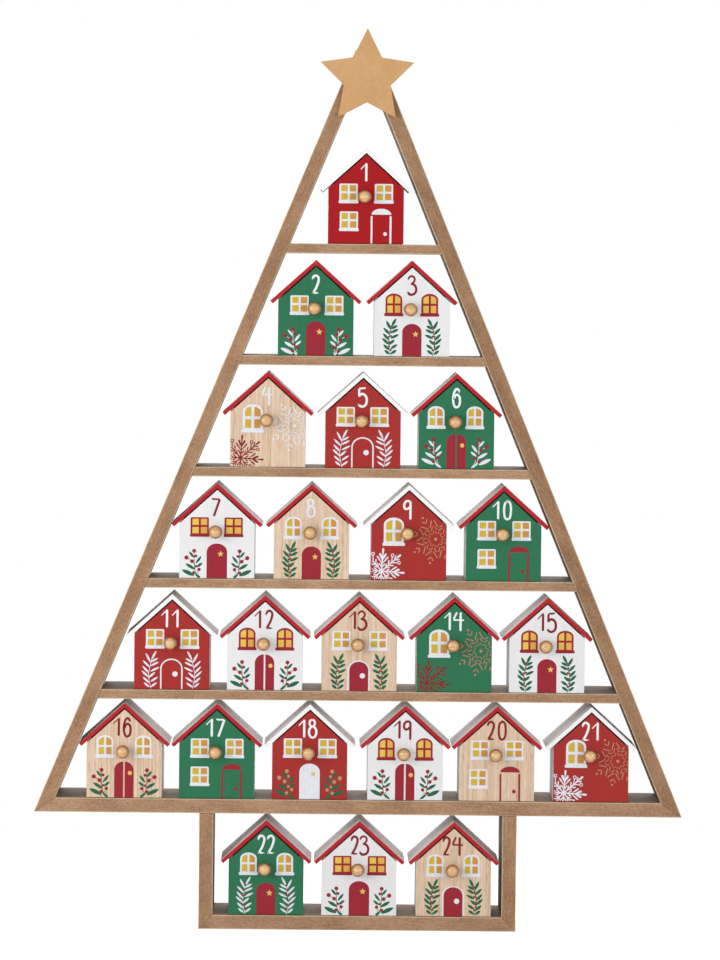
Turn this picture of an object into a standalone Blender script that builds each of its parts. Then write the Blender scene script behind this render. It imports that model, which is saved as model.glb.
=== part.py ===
"""Tree-shaped advent calendar.

A flat-fronted frame of mitred board, with five shelves, a base rail and a trunk,
holds 24 small houses. Each house is a roofed case glued to its shelf, with a
pull-out drawer whose gabled front carries a turned ball knob.
All sizes are in metres. X runs across the tree, +Y runs from front to back, +Z is up.
"""

from collections import namedtuple
from math import asin, cos, pi, radians, sin, sqrt, tan

import bmesh
import bpy
from mathutils import Matrix, Vector

# Boards of the tree
FRAME_DEPTH = 0.060
RAIL_THICKNESS = 0.0095
SHELF_THICKNESS = 0.0063
TREE_HALF_ANGLE = radians(22.38)
# Space between the inner face of a sloping rail and the nearest roof corner
RAIL_CLEARANCE = 0.0003
# Space between a trunk side and the nearest eave, for a row set in the middle
TRUNK_CLEARANCE = 0.0033
# The two rails meet in a point, which is sawn off this far down, behind the star
RAIL_TOP_CUT = 0.0170
# Glue line between boards, and under each house
GLUE_GAP = 0.0003

# Star
STAR_RADIUS = 0.0325
STAR_INNER_RADIUS = 0.0163
STAR_THICKNESS = 0.0030
STAR_POINTS = 5
# Middle of the star, below the point where the rails' outer faces would meet
STAR_DROP = 0.0348
# The star was glued on slightly right of the middle
STAR_SHIFT = 0.0009

# House case
HOUSE_WIDTH = 0.0500
HOUSE_DEPTH = 0.0480
WALL_HEIGHT = 0.0374
CASE_WALL = 0.0025
CASE_FLOOR = 0.0025
ROOF_PITCH = radians(42.1)
ROOF_THICKNESS = 0.0025
# How far the roof reaches past the wall, level with the upper edge of its end
EAVE_OVERHANG = 0.0053
# The house fronts stand this far behind the front of the frame
HOUSE_SETBACK = 0.0010

# Drawer
FRONT_THICKNESS = 0.0030
FRONT_GAP = 0.0004
ROOF_GAP = 0.0009
TRAY_WALL = 0.0020
TRAY_FLOOR = 0.0020
TRAY_HEIGHT = 0.0320
TRAY_SIDE_GAP = 0.0004
TRAY_FLOOR_GAP = 0.0003
TRAY_END_GAP = 0.0010
# The tray's sides are let into the back of the front by this much
TRAY_TENON = 0.0015

# Knob
KNOB_DIAMETER = 0.0090
KNOB_NECK_DIAMETER = 0.0046
KNOB_NECK = 0.0008
KNOB_PEG = 0.0020
KNOB_HEIGHT = 0.0310
# The knob holes were drilled slightly left of the middle
KNOB_SHIFT = -0.0010
KNOB_STEPS = 16
KNOB_ARC_POINTS = 7

# Rows of houses, from the top of the tree down to the trunk. eave_gap is the space between
# neighbouring roofs, shift is how far the row stands off the middle, head_room is the space
# above the ridges, and nudges are how far each house was glued off its even place.
Row = namedtuple("Row", "houses eave_gap shift head_room nudges")
TREE_ROWS = (
    Row(houses=1, eave_gap=0.0, shift=0.0010, head_room=0.0, nudges=(0.0,)),
    Row(houses=2, eave_gap=0.0030, shift=0.0003, head_room=0.0044, nudges=(0.0, 0.0002)),
    Row(houses=3, eave_gap=0.0017, shift=0.0002, head_room=0.0044, nudges=(-0.0004, 0.0004, 0.0002)),
    Row(houses=4, eave_gap=0.0028, shift=-0.0005, head_room=0.0044, nudges=(0.0, -0.0006, 0.0007, 0.0003)),
    Row(houses=5, eave_gap=0.0019, shift=-0.0001, head_room=0.0043,
        nudges=(0.0002, -0.0005, -0.0002, 0.0005, -0.0002)),
    Row(houses=6, eave_gap=0.0015, shift=-0.0005, head_room=0.0027,
        nudges=(-0.0002, -0.0008, -0.0010, 0.0005, -0.0005, 0.0002)),
)
TRUNK_ROW = Row(houses=3, eave_gap=0.0018, shift=0.0015, head_room=0.0044, nudges=(0.0, -0.0003, 0.0003))

# Paint on the fronts, by house number
FRONT_PAINT = {
    "red": (1, 5, 9, 11, 18, 21),
    "green": (2, 6, 10, 14, 17, 22),
    "white": (3, 7, 12, 15, 19, 23),
    "wood": (4, 8, 13, 16, 20, 24),
}

# Sizes that follow from the ones above
ROOF_HALF_WIDTH = HOUSE_WIDTH / 2 + EAVE_OVERHANG
RIDGE_UNDERSIDE = WALL_HEIGHT + HOUSE_WIDTH / 2 * tan(ROOF_PITCH)
RIDGE_TOP = RIDGE_UNDERSIDE + ROOF_THICKNESS / cos(ROOF_PITCH)
EAVE_TOP = RIDGE_TOP - ROOF_HALF_WIDTH * tan(ROOF_PITCH)
KNOB_RADIUS = KNOB_DIAMETER / 2
KNOB_NECK_RADIUS = KNOB_NECK_DIAMETER / 2
KNOB_CENTRE = KNOB_NECK + sqrt(KNOB_RADIUS**2 - KNOB_NECK_RADIUS**2)
KNOB_REACH = KNOB_CENTRE + KNOB_RADIUS
CASE_FRONT = FRONT_THICKNESS + FRONT_GAP
TRAY_BACK = HOUSE_DEPTH - CASE_WALL - TRAY_END_GAP
TRAY_BOTTOM = CASE_FLOOR + TRAY_FLOOR_GAP
TRAY_HALF_WIDTH = HOUSE_WIDTH / 2 - CASE_WALL - TRAY_SIDE_GAP

# A cutter reaches this far past what it cuts
OVERCUT = 0.002
WELD = 0.00001


# Scene and materials

def clear_scene():
    for obj in list(bpy.data.objects):
        bpy.data.objects.remove(obj, do_unlink=True)


def new_collection(name):
    collection = bpy.data.collections.new(name)
    bpy.context.scene.collection.children.link(collection)
    return collection


def linear(channel):
    """One sRGB channel, 0 to 255, as linear light."""
    value = channel / 255
    return value / 12.92 if value <= 0.04045 else ((value + 0.055) / 1.055) ** 2.4


def new_material(name, colour, roughness):
    material = bpy.data.materials.new(name)
    material.use_nodes = True
    shader = material.node_tree.nodes["Principled BSDF"]
    shader.inputs["Base Color"].default_value = [linear(channel) for channel in colour] + [1.0]
    shader.inputs["Roughness"].default_value = roughness
    shader.inputs["Metallic"].default_value = 0.0
    return material


def new_object(name, mesh, collection, material=None, parent=None, location=(0, 0, 0)):
    obj = bpy.data.objects.new(name, mesh)
    collection.objects.link(obj)
    obj.parent = parent
    obj.location = location
    if material:
        if not mesh.materials:
            mesh.materials.append(None)
        obj.material_slots[0].link = "OBJECT"
        obj.material_slots[0].material = material
    return obj


# Solid shapes

def evaluated_mesh(obj, name):
    """The object's mesh with its modifiers, welded, with its faces pointing out."""
    graph = bpy.context.evaluated_depsgraph_get()
    mesh = bpy.data.meshes.new_from_object(obj.evaluated_get(graph), depsgraph=graph)
    mesh.name = name
    mesh.transform(obj.matrix_world)
    solid = bmesh.new()
    solid.from_mesh(mesh)
    bmesh.ops.remove_doubles(solid, verts=solid.verts, dist=WELD)
    bmesh.ops.recalc_face_normals(solid, faces=solid.faces)
    solid.to_mesh(mesh)
    solid.free()
    bpy.data.objects.remove(obj, do_unlink=True)
    return mesh


def prism(name, outline, front, back):
    """A flat outline in X and Z, as a solid from Y = front to Y = back."""
    curve = bpy.data.curves.new(name, "CURVE")
    curve.dimensions = "2D"
    curve.fill_mode = "BOTH"
    curve.extrude = (back - front) / 2
    spline = curve.splines.new("POLY")
    spline.points.add(len(outline) - 1)
    for point, (x, z) in zip(spline.points, outline):
        point.co = (x, z, 0, 1)
    spline.use_cyclic_u = True
    obj = bpy.data.objects.new(name, curve)
    bpy.context.scene.collection.objects.link(obj)
    obj.matrix_world = Matrix.Translation((0, (front + back) / 2, 0)) @ Matrix.Rotation(pi / 2, 4, "X")
    bpy.context.view_layer.update()
    return evaluated_mesh(obj, name)


def box(name, low, high):
    """A box between two corners."""
    bpy.ops.mesh.primitive_cube_add(size=1)
    obj = bpy.context.object
    obj.scale = Vector(high) - Vector(low)
    obj.location = (Vector(high) + Vector(low)) / 2
    bpy.context.view_layer.update()
    return evaluated_mesh(obj, name)


def combine(name, mesh, steps):
    """The mesh after a list of Boolean steps, each an operation and the mesh it uses."""
    body = new_object(name, mesh, bpy.context.scene.collection)
    tools = []
    for operation, tool_mesh in steps:
        tool = new_object(tool_mesh.name, tool_mesh, cutters)
        tool.hide_render = True
        tool.display_type = "WIRE"
        step = body.modifiers.new(operation.lower(), "BOOLEAN")
        step.operation = operation
        step.solver = "EXACT"
        step.object = tool
        tools.append(tool)
    bpy.context.view_layer.update()
    result = evaluated_mesh(body, name)
    for tool in tools:
        bpy.data.objects.remove(tool, do_unlink=True)
    return result


def turned(name, profile, steps):
    """A profile of (radius, height) points, turned about Z, from the top down."""
    mesh = bpy.data.meshes.new(name)
    points = [(radius, 0, height) for radius, height in profile]
    mesh.from_pydata(points, [(i, i + 1) for i in range(len(points) - 1)], [])
    obj = bpy.data.objects.new(name, mesh)
    bpy.context.scene.collection.objects.link(obj)
    screw = obj.modifiers.new("turn", "SCREW")
    screw.axis = "Z"
    screw.steps = steps
    screw.render_steps = steps
    screw.use_merge_vertices = True
    screw.merge_threshold = WELD
    bpy.context.view_layer.update()
    return evaluated_mesh(obj, name)


# Lines in the plane of the frame, each a unit normal and its distance from the origin

Line = namedtuple("Line", "normal distance")


def moved(line, step):
    """The line shifted along its normal."""
    return Line(line.normal, line.distance + step)


def meet(a, b):
    """The point where two lines cross."""
    scale = a.normal.cross(b.normal)
    x = (a.distance * b.normal.y - b.distance * a.normal.y) / scale
    z = (b.distance * a.normal.x - a.distance * b.normal.x) / scale
    return Vector((x, z))


def through(start, end):
    """The line through two points, with its normal on the left of the way from start to end."""
    along = (end - start).normalized()
    normal = Vector((-along.y, along.x))
    return Line(normal, normal.dot(start))


def level(height):
    return Line(Vector((0, 1)), height)


def upright(offset):
    return Line(Vector((1, 0)), offset)


def mirrored(outline):
    return [Vector((-point.x, point.y)) for point in reversed(outline)]


def both_sides(outline):
    """The right-hand points of an outline, with their mirror images."""
    return list(outline) + mirrored(outline)


# Layout of the rows

def row_height(row):
    """Clear height between the boards below and above a row."""
    return GLUE_GAP + RIDGE_TOP + row.head_room


def house_places(row):
    """X of each house in a row."""
    pitch = 2 * ROOF_HALF_WIDTH + row.eave_gap
    middle = (row.houses - 1) / 2
    return [row.shift + (index - middle) * pitch + nudge for index, nudge in enumerate(row.nudges)]


def shelf_tops(base_top):
    """Height of the surface that carries each row of the tree, from the top row down."""
    tops = [base_top]
    for row in reversed(TREE_ROWS[1:]):
        tops.append(tops[-1] + row_height(row) + SHELF_THICKNESS)
    return list(reversed(tops))


TRUNK_TOP = RAIL_THICKNESS + row_height(TRUNK_ROW)
BASE_TOP = TRUNK_TOP + RAIL_THICKNESS
SHELF_TOPS = shelf_tops(BASE_TOP)


def rail_inner_face():
    """The right rail's inner face leans at the tree's angle and clears every roof."""
    normal = Vector((cos(TREE_HALF_ANGLE), sin(TREE_HALF_ANGLE)))
    reach = []
    for row, top in zip(TREE_ROWS, SHELF_TOPS):
        widest = max(abs(x) for x in house_places(row)) + ROOF_HALF_WIDTH
        reach.append(normal.dot(Vector((widest, top + GLUE_GAP + EAVE_TOP))))
    return Line(normal, max(reach) + RAIL_CLEARANCE)


RAIL_INNER = rail_inner_face()
RAIL_OUTER = moved(RAIL_INNER, RAIL_THICKNESS)
APEX_HEIGHT = meet(RAIL_OUTER, upright(0)).y
TRUNK_HALF_WIDTH = (
    max(house_places(TRUNK_ROW)) - TRUNK_ROW.shift + ROOF_HALF_WIDTH + TRUNK_CLEARANCE + RAIL_THICKNESS
)


# Boards of the frame

def rail_outline():
    """The right sloping rail, mitred to the base rail below and to its twin above."""
    top = level(APEX_HEIGHT - RAIL_TOP_CUT)
    middle = upright(GLUE_GAP / 2)
    mitre = moved(base_mitre(), GLUE_GAP / 2)
    return [
        meet(RAIL_OUTER, mitre),
        meet(RAIL_OUTER, top),
        meet(middle, top),
        meet(middle, RAIL_INNER),
        meet(RAIL_INNER, mitre),
    ]


def base_mitre():
    """The mitre at the right end of the base rail, with its normal towards the sloping rail."""
    outer = meet(RAIL_OUTER, level(TRUNK_TOP))
    inner = meet(RAIL_INNER, level(BASE_TOP))
    return through(inner, outer)


def base_rail_outline():
    end = moved(base_mitre(), -GLUE_GAP / 2)
    return both_sides([meet(level(TRUNK_TOP), end), meet(level(BASE_TOP), end)])


def shelf_outline(top):
    end = moved(RAIL_INNER, -GLUE_GAP)
    return both_sides([meet(level(top - SHELF_THICKNESS), end), meet(level(top), end)])


def trunk_mitre():
    """The mitre at the trunk's lower right corner, with its normal towards the trunk side."""
    outer = Vector((TRUNK_HALF_WIDTH, 0))
    inner = Vector((TRUNK_HALF_WIDTH - RAIL_THICKNESS, RAIL_THICKNESS))
    return through(inner, outer)


def trunk_side_outline():
    outer = upright(TRUNK_HALF_WIDTH)
    inner = upright(TRUNK_HALF_WIDTH - RAIL_THICKNESS)
    top = level(TRUNK_TOP - GLUE_GAP)
    mitre = moved(trunk_mitre(), GLUE_GAP / 2)
    return [meet(outer, mitre), meet(outer, top), meet(inner, top), meet(inner, mitre)]


def trunk_base_outline():
    end = moved(trunk_mitre(), -GLUE_GAP / 2)
    return both_sides([meet(level(0), end), meet(level(RAIL_THICKNESS), end)])


def star_outline():
    middle = Vector((STAR_SHIFT, APEX_HEIGHT - STAR_DROP))
    outline = []
    for index in range(2 * STAR_POINTS):
        radius = STAR_INNER_RADIUS if index % 2 else STAR_RADIUS
        angle = pi / 2 + index * pi / STAR_POINTS
        outline.append(middle + radius * Vector((cos(angle), sin(angle))))
    return outline


def make_frame(root):
    brown_board = new_material("brown MDF", (168, 132, 99), 0.75)
    pale_board = new_material("pale MDF", (214, 176, 125), 0.75)

    boards = {
        "right_rail": rail_outline(),
        "left_rail": mirrored(rail_outline()),
        "base_rail": base_rail_outline(),
        "trunk_right": trunk_side_outline(),
        "trunk_left": mirrored(trunk_side_outline()),
        "trunk_base": trunk_base_outline(),
    }
    for index, top in enumerate(SHELF_TOPS[:-1], start=1):
        boards[f"shelf_{index}"] = shelf_outline(top)
    for name, outline in boards.items():
        new_object(name, prism(name, outline, 0, FRAME_DEPTH), parts, brown_board, root)

    star = prism("star", star_outline(), -GLUE_GAP - STAR_THICKNESS, -GLUE_GAP)
    new_object("star", star, parts, pale_board, root)


# Houses, each in its own frame: front of the drawer at Y = 0, underside at Z = 0

def roof_outline():
    """Two roof boards that meet at the ridge, with their ends sawn square to the slope."""
    eave = Vector((ROOF_HALF_WIDTH, EAVE_TOP))
    inwards = Vector((-sin(ROOF_PITCH), -cos(ROOF_PITCH)))
    eave_low = eave + ROOF_THICKNESS * inwards
    left = mirrored([eave_low, eave])
    return [eave_low, eave, Vector((0, RIDGE_TOP))] + left + [Vector((0, RIDGE_UNDERSIDE))]


def gable_outline(half_width, ridge):
    """A wall with a pointed top under the roof's slope."""
    shoulder = ridge - half_width * tan(ROOF_PITCH)
    return [
        Vector((half_width, 0)),
        Vector((half_width, shoulder)),
        Vector((0, ridge)),
        Vector((-half_width, shoulder)),
        Vector((-half_width, 0)),
    ]


def case_mesh():
    """Floor, side walls and gabled back under a pitched roof, open at the front."""
    half_width = HOUSE_WIDTH / 2
    # The walls run up into the middle of the roof boards, where they are glued
    wall_ridge = (RIDGE_UNDERSIDE + RIDGE_TOP) / 2
    walls = prism("walls", gable_outline(half_width, wall_ridge), CASE_FRONT, HOUSE_DEPTH)
    inside = box(
        "inside",
        (-half_width + CASE_WALL, CASE_FRONT - OVERCUT, CASE_FLOOR),
        (half_width - CASE_WALL, HOUSE_DEPTH - CASE_WALL, RIDGE_TOP + OVERCUT),
    )
    roof = prism("roof", roof_outline(), 0, HOUSE_DEPTH)
    return combine("case", walls, [("DIFFERENCE", inside), ("UNION", roof)])


def knob_mesh():
    """A turned ball on a short neck, with the peg that is glued into the front."""
    start = asin(KNOB_NECK_RADIUS / KNOB_RADIUS)
    profile = []
    for index in range(KNOB_ARC_POINTS):
        angle = (pi - start) * index / (KNOB_ARC_POINTS - 1)
        profile.append((KNOB_RADIUS * sin(angle), KNOB_CENTRE + KNOB_RADIUS * cos(angle)))
    profile.append((KNOB_NECK_RADIUS, -KNOB_PEG))
    profile.append((0, -KNOB_PEG))
    mesh = turned("knob", profile, KNOB_STEPS)
    forwards = Matrix.Rotation(pi / 2, 4, "X")
    mesh.transform(Matrix.Translation((KNOB_SHIFT, 0, KNOB_HEIGHT)) @ forwards)
    return mesh


def drawer_mesh():
    """An open tray behind a gabled front with a ball knob."""
    tray_top = TRAY_BOTTOM + TRAY_HEIGHT
    tray = box(
        "tray",
        (-TRAY_HALF_WIDTH, FRONT_THICKNESS - TRAY_TENON, TRAY_BOTTOM),
        (TRAY_HALF_WIDTH, TRAY_BACK, tray_top),
    )
    space = box(
        "space",
        (-TRAY_HALF_WIDTH + TRAY_WALL, FRONT_THICKNESS - TRAY_TENON - OVERCUT, TRAY_BOTTOM + TRAY_FLOOR),
        (TRAY_HALF_WIDTH - TRAY_WALL, TRAY_BACK - TRAY_WALL, tray_top + OVERCUT),
    )
    front_ridge = RIDGE_UNDERSIDE - ROOF_GAP / cos(ROOF_PITCH)
    front = prism("front", gable_outline(HOUSE_WIDTH / 2, front_ridge), 0, FRONT_THICKNESS)
    steps = [("DIFFERENCE", space), ("UNION", front), ("UNION", knob_mesh())]
    mesh = combine("drawer", tray, steps)
    mesh.shade_smooth()
    mesh.set_sharp_from_angle(angle=radians(30))
    return mesh


def make_houses(root):
    case_paint = new_material("white paint", (236, 236, 238), 0.55)
    front_paints = {
        "red": new_material("red paint", (176, 48, 48), 0.5),
        "green": new_material("green paint", (45, 125, 85), 0.5),
        "white": new_material("front white paint", (236, 236, 238), 0.5),
        "wood": new_material("bare light wood", (228, 200, 170), 0.65),
    }
    paint_of = {number: front_paints[paint] for paint, numbers in FRONT_PAINT.items() for number in numbers}

    case = case_mesh()
    drawer = drawer_mesh()
    rows = list(zip(TREE_ROWS, SHELF_TOPS)) + [(TRUNK_ROW, RAIL_THICKNESS)]
    number = 0
    for row, surface in rows:
        for x in house_places(row):
            number += 1
            seat = new_object(f"seat_{number:02d}", None, parts, parent=root)
            seat.location = (x, HOUSE_SETBACK, surface + GLUE_GAP)
            new_object(f"house_{number:02d}", case, parts, case_paint, seat)
            new_object(f"drawer_{number:02d}", drawer, parts, paint_of[number], seat)


clear_scene()
parts = new_collection("advent_calendar")
cutters = new_collection("cutters")

# The origin lies under the middle of the whole object, from the knobs to the back
FOREMOST = min(HOUSE_SETBACK - KNOB_REACH, -GLUE_GAP - STAR_THICKNESS)
REARMOST = max(FRAME_DEPTH, HOUSE_SETBACK + HOUSE_DEPTH)
calendar = new_object("calendar", None, parts, location=(0, -(FOREMOST + REARMOST) / 2, 0))

make_frame(calendar)
make_houses(calendar)
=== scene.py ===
from collections import namedtuple
from math import acos, cos, hypot, pi, radians, sin, sqrt, tan

import bmesh
import bpy
from mathutils import Matrix, Vector


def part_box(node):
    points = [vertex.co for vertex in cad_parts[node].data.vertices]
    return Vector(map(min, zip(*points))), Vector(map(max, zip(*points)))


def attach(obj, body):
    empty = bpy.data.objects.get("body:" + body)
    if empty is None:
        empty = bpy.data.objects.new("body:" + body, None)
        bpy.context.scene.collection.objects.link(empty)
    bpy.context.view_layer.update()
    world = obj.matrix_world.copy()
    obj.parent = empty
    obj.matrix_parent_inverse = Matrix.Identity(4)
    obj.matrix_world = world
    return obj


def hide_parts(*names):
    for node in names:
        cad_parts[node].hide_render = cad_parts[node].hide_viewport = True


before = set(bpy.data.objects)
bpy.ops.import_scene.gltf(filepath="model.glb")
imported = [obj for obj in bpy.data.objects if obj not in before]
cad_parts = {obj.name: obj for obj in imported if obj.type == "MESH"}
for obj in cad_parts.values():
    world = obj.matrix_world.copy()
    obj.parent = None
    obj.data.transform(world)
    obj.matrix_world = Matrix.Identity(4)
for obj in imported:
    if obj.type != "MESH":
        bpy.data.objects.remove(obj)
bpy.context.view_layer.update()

BOARD_BODY = "tree"

# Camera
# A long lens about three metres off, a little above the middle of the tree,
# turned and tipped as far as the photograph shows.
CAMERA_PLACE = Vector((-0.03169, -3.0340, 0.43853))
CAMERA_YAW = 0.01018
CAMERA_PITCH = 0.04580
CAMERA_ROLL = 0.01075
CAMERA_LENS = 226.84
SENSOR_WIDTH = 36.0

camera_data = bpy.data.cameras.new("camera")
camera_data.sensor_fit = "HORIZONTAL"
camera_data.sensor_width = SENSOR_WIDTH
camera_data.lens = CAMERA_LENS
camera = bpy.data.objects.new("camera", camera_data)
bpy.context.scene.collection.objects.link(camera)
camera.matrix_world = (
    Matrix.Translation(CAMERA_PLACE)
    @ Matrix.Rotation(-CAMERA_YAW, 4, "Z")
    @ Matrix.Rotation(pi / 2 - CAMERA_PITCH, 4, "X")
    @ Matrix.Rotation(CAMERA_ROLL, 4, "Z")
)
bpy.context.scene.camera = camera
bpy.context.scene.view_settings.view_transform = "Standard"


# Studio
# A white floor that fades into a white surround. Three soft round lamps: a near one at the
# front left, a wider and weaker one at the front right, and one behind for roofs and back.
FLOOR_SIZE = 8.0
# Reach of the shadow on the floor, and the share of it where the shadow is whole
SHADOW_RADIUS = 0.55
SHADOW_CORE = 0.3
# Place, size and power of each lamp
LAMPS = {
    "key lamp": ((-1.20, -0.92, 0.47), 0.92, 9.5),
    "fill lamp": ((1.35, -1.35, 0.52), 1.0, 7.0),
    "back lamp": ((0.0, 1.5, 0.85), 1.2, 12.0),
}
AIM = Vector((0, 0, 0.15))
SURROUND_LIGHT = 0.61
FLOOR_GLOW = 0.62
PAPER_WHITE = "#F2F2F2"


def linear(hex_colour):
    """An sRGB colour written as hex, as the linear colour that a shader takes."""
    colour = []
    for start in (1, 3, 5):
        value = int(hex_colour[start:start + 2], 16) / 255
        colour.append(value / 12.92 if value <= 0.04045 else ((value + 0.055) / 1.055) ** 2.4)
    return colour + [1.0]


def add(tree, kind, inputs=None, **settings):
    """A new node: its inputs by name or number, as values or links, and its settings by name."""
    node = tree.nodes.new(kind)
    for name, value in settings.items():
        setattr(node, name, value)
    for socket, value in (inputs or {}).items():
        if isinstance(value, bpy.types.NodeSocket):
            tree.links.new(value, node.inputs[socket])
        else:
            node.inputs[socket].default_value = value
    return node


def link_object(name, data):
    obj = bpy.data.objects.new(name, data)
    bpy.context.scene.collection.objects.link(obj)
    return obj


def soft_lamp(name, place, size, power):
    lamp = bpy.data.lights.new(name, "AREA")
    lamp.shape = "DISK"
    lamp.size = size
    lamp.energy = power
    obj = link_object(name, lamp)
    obj.location = place
    obj.rotation_euler = (AIM - Vector(place)).to_track_quat("-Z", "Y").to_euler()
    obj.visible_camera = False


def calculate(tree, operation, one, other):
    return add(tree, "ShaderNodeMath", {0: one, 1: other}, operation=operation).outputs[0]


def blend(tree, share, one, other):
    """A value on the way from one to the other, as far along as the share says."""
    return add(tree, "ShaderNodeMix", {0: share, 2: one, 3: other}, data_type="FLOAT").outputs[0]


def seen_ray(tree):
    """1 for what the camera sees, straight or by a reflection or through glass."""
    path = add(tree, "ShaderNodeLightPath").outputs
    camera_or_gloss = calculate(tree, "MAXIMUM", path["Is Camera Ray"], path["Is Glossy Ray"])
    return calculate(tree, "MAXIMUM", camera_or_gloss, path["Is Transmission Ray"])


def surround():
    world = bpy.data.worlds.new("surround")
    world.use_nodes = True
    bpy.context.scene.world = world
    tree = world.node_tree
    tree.nodes.clear()
    strength = blend(tree, seen_ray(tree), SURROUND_LIGHT, 1.0)
    light = add(tree, "ShaderNodeBackground", {"Color": linear("#FFFFFF"), "Strength": strength})
    add(tree, "ShaderNodeOutputWorld", {"Surface": light.outputs[0]})


def new_material(name):
    material = bpy.data.materials.new(name)
    material.use_nodes = True
    return material


def floor_material():
    """White paper: it takes the object's shadow nearby and is plain white further off."""
    material = new_material("white paper")
    tree = material.node_tree
    tree.nodes.clear()
    place = add(tree, "ShaderNodeTexCoord").outputs["Object"]
    distance = add(tree, "ShaderNodeVectorMath", {0: place}, operation="LENGTH").outputs["Value"]
    far = add(tree, "ShaderNodeMapRange",
              {0: distance, 1: SHADOW_CORE * SHADOW_RADIUS, 2: SHADOW_RADIUS, 3: 0.0, 4: 1.0},
              interpolation_type="SMOOTHSTEP").outputs[0]
    paper = add(tree, "ShaderNodeBsdfDiffuse", {"Color": linear(PAPER_WHITE)}).outputs[0]
    brightness = calculate(tree, "MULTIPLY", seen_ray(tree), FLOOR_GLOW)
    glow = add(tree, "ShaderNodeEmission", {"Strength": brightness}).outputs[0]
    near = add(tree, "ShaderNodeAddShader", {0: paper, 1: glow}).outputs[0]
    plain = add(tree, "ShaderNodeEmission", {"Strength": 1.0}).outputs[0]
    far_seen = calculate(tree, "MULTIPLY", far, seen_ray(tree))
    mix = add(tree, "ShaderNodeMixShader", {0: far_seen, 1: near, 2: plain}).outputs[0]
    add(tree, "ShaderNodeOutputMaterial", {"Surface": mix})
    return material


surround()
for name, lamp in LAMPS.items():
    soft_lamp(name, *lamp)
floor_mesh = bpy.data.meshes.new("floor")
corner = FLOOR_SIZE / 2
floor_mesh.from_pydata(
    [(-corner, -corner, 0), (corner, -corner, 0), (corner, corner, 0), (-corner, corner, 0)],
    [], [(0, 1, 2, 3)],
)
floor_mesh.materials.append(floor_material())
link_object("floor", floor_mesh)


# Boards of the tree
# Eleven boards of medium density fibreboard, mitred at the corners and glued. The sawn edges,
# which face the front, are brown and fibrous. The broad faces are smoother and greyer, and
# their tone is darkened further as painted shade.
ARRIS = 0.0005
ROUND_STEPS = 2
END_REACH = 0.0001
WELD = 0.00001
FLAT_ANGLE = radians(1)
TREE_LEAN = radians(22.38)
# A face is a broad one if it has at least this share of the board's largest face
BROAD_SHARE = 0.25
# Length and width of a fibre, a blotch and a fleck, and how much the last two show
FIBRE = (0.016, 0.0007)
BLOTCH = (0.022, 0.011)
FLECK = (0.0018, 0.0009)
BLOTCH_SHARE = 0.45
FLECK_SHARE = 0.38
# Where in the pattern the dark, middle and light tones lie
BOARD_TONES = (0.36, 0.50, 0.64)
BOARD_BUMP = 0.5
BOARD_SPECULAR = 0.12
# Roughness and depth of relief of the three kinds of surface
SAWN = (0.72, 0.00012)
PRESSED = (0.75, 0.00003)
SANDED = (0.6, 0.00004)

SAWN_BROWN = ("#85634A", "#A27D5F", "#B89474")
SHELF_BROWN = ("#8B6A52", "#A98568", "#BF9C7D")
# Painted shade: the right rail's sawn edges are a darker brown, standing in for the light that falls off
# towards the right
RIGHT_RAIL_SHADE_BROWN = ("#7E5E46", "#9B775A", "#B08C6D")
# Greyer tone of the pressed faces, darkened further as painted shade for the shelf tops between the houses
# and the inner faces
FACE_GREY_AND_SHADE = ("#766350", "#877360", "#95826C")
# Painted highlight: a paler colour on the eased long edges, standing in for the light they catch
ARRIS_HIGHLIGHT_PALE = ("#B79C80", "#CDB597", "#DAC6AC")


def ramp(tree, factor, colours, places):
    """A colour for each value of factor, from sRGB hex colours at the given places."""
    node = add(tree, "ShaderNodeValToRGB", {"Fac": factor})
    stops = node.color_ramp.elements
    while len(stops) < len(colours):
        stops.new(0.5)
    for stop, colour, place in zip(stops, colours, places):
        stop.position = place
        stop.color = linear(colour)
    return node.outputs["Color"]


def grain(tree, lean, size, detail, roughness=0.5, distortion=0.0, deep=None):
    """Noise turned to the board's direction. Size is a grain's length and width in metres."""
    along, across = size
    place = add(tree, "ShaderNodeTexCoord").outputs["Object"]
    turned = add(tree, "ShaderNodeMapping",
                 {"Vector": place, "Rotation": (0, lean, 0), "Scale": (along, deep or across, across)},
                 vector_type="TEXTURE")
    return add(tree, "ShaderNodeTexNoise",
               {"Vector": turned.outputs[0], "Scale": 1.0, "Detail": detail, "Roughness": roughness,
                "Distortion": distortion}).outputs["Fac"]


def finish_surface(material, colour, height, bump, relief, roughness, specular):
    """Gives a material its colour, its fine relief and its sheen."""
    tree = material.node_tree
    shader = tree.nodes["Principled BSDF"]
    raised = add(tree, "ShaderNodeBump", {"Strength": bump, "Distance": relief, "Height": height})
    tree.links.new(colour, shader.inputs["Base Color"])
    tree.links.new(raised.outputs[0], shader.inputs["Normal"])
    shader.inputs["Roughness"].default_value = roughness
    shader.inputs["Specular IOR Level"].default_value = specular
    return material


def fibreboard(name, colours, lean, roughness, relief):
    """Fibreboard: fine fibres along the board, soft blotches, and specks of darker bark."""
    material = new_material(name)
    tree = material.node_tree
    fibres = grain(tree, lean, FIBRE, 4.0, 0.65)
    mixed = blend(tree, BLOTCH_SHARE, fibres, grain(tree, lean, BLOTCH, 2.0))
    mixed = blend(tree, FLECK_SHARE, mixed, grain(tree, lean, FLECK, 2.0))
    colour = ramp(tree, mixed, colours, BOARD_TONES)
    return finish_surface(material, colour, mixed, BOARD_BUMP, relief, roughness, BOARD_SPECULAR)


def solid_copy(node_name):
    """A CAD node's mesh as whole faces, for bevelling."""
    solid = bmesh.new()
    solid.from_mesh(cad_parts[node_name].data)
    bmesh.ops.remove_doubles(solid, verts=solid.verts, dist=WELD)
    bmesh.ops.dissolve_limit(solid, angle_limit=FLAT_ANGLE, verts=solid.verts, edges=solid.edges)
    return solid


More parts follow.
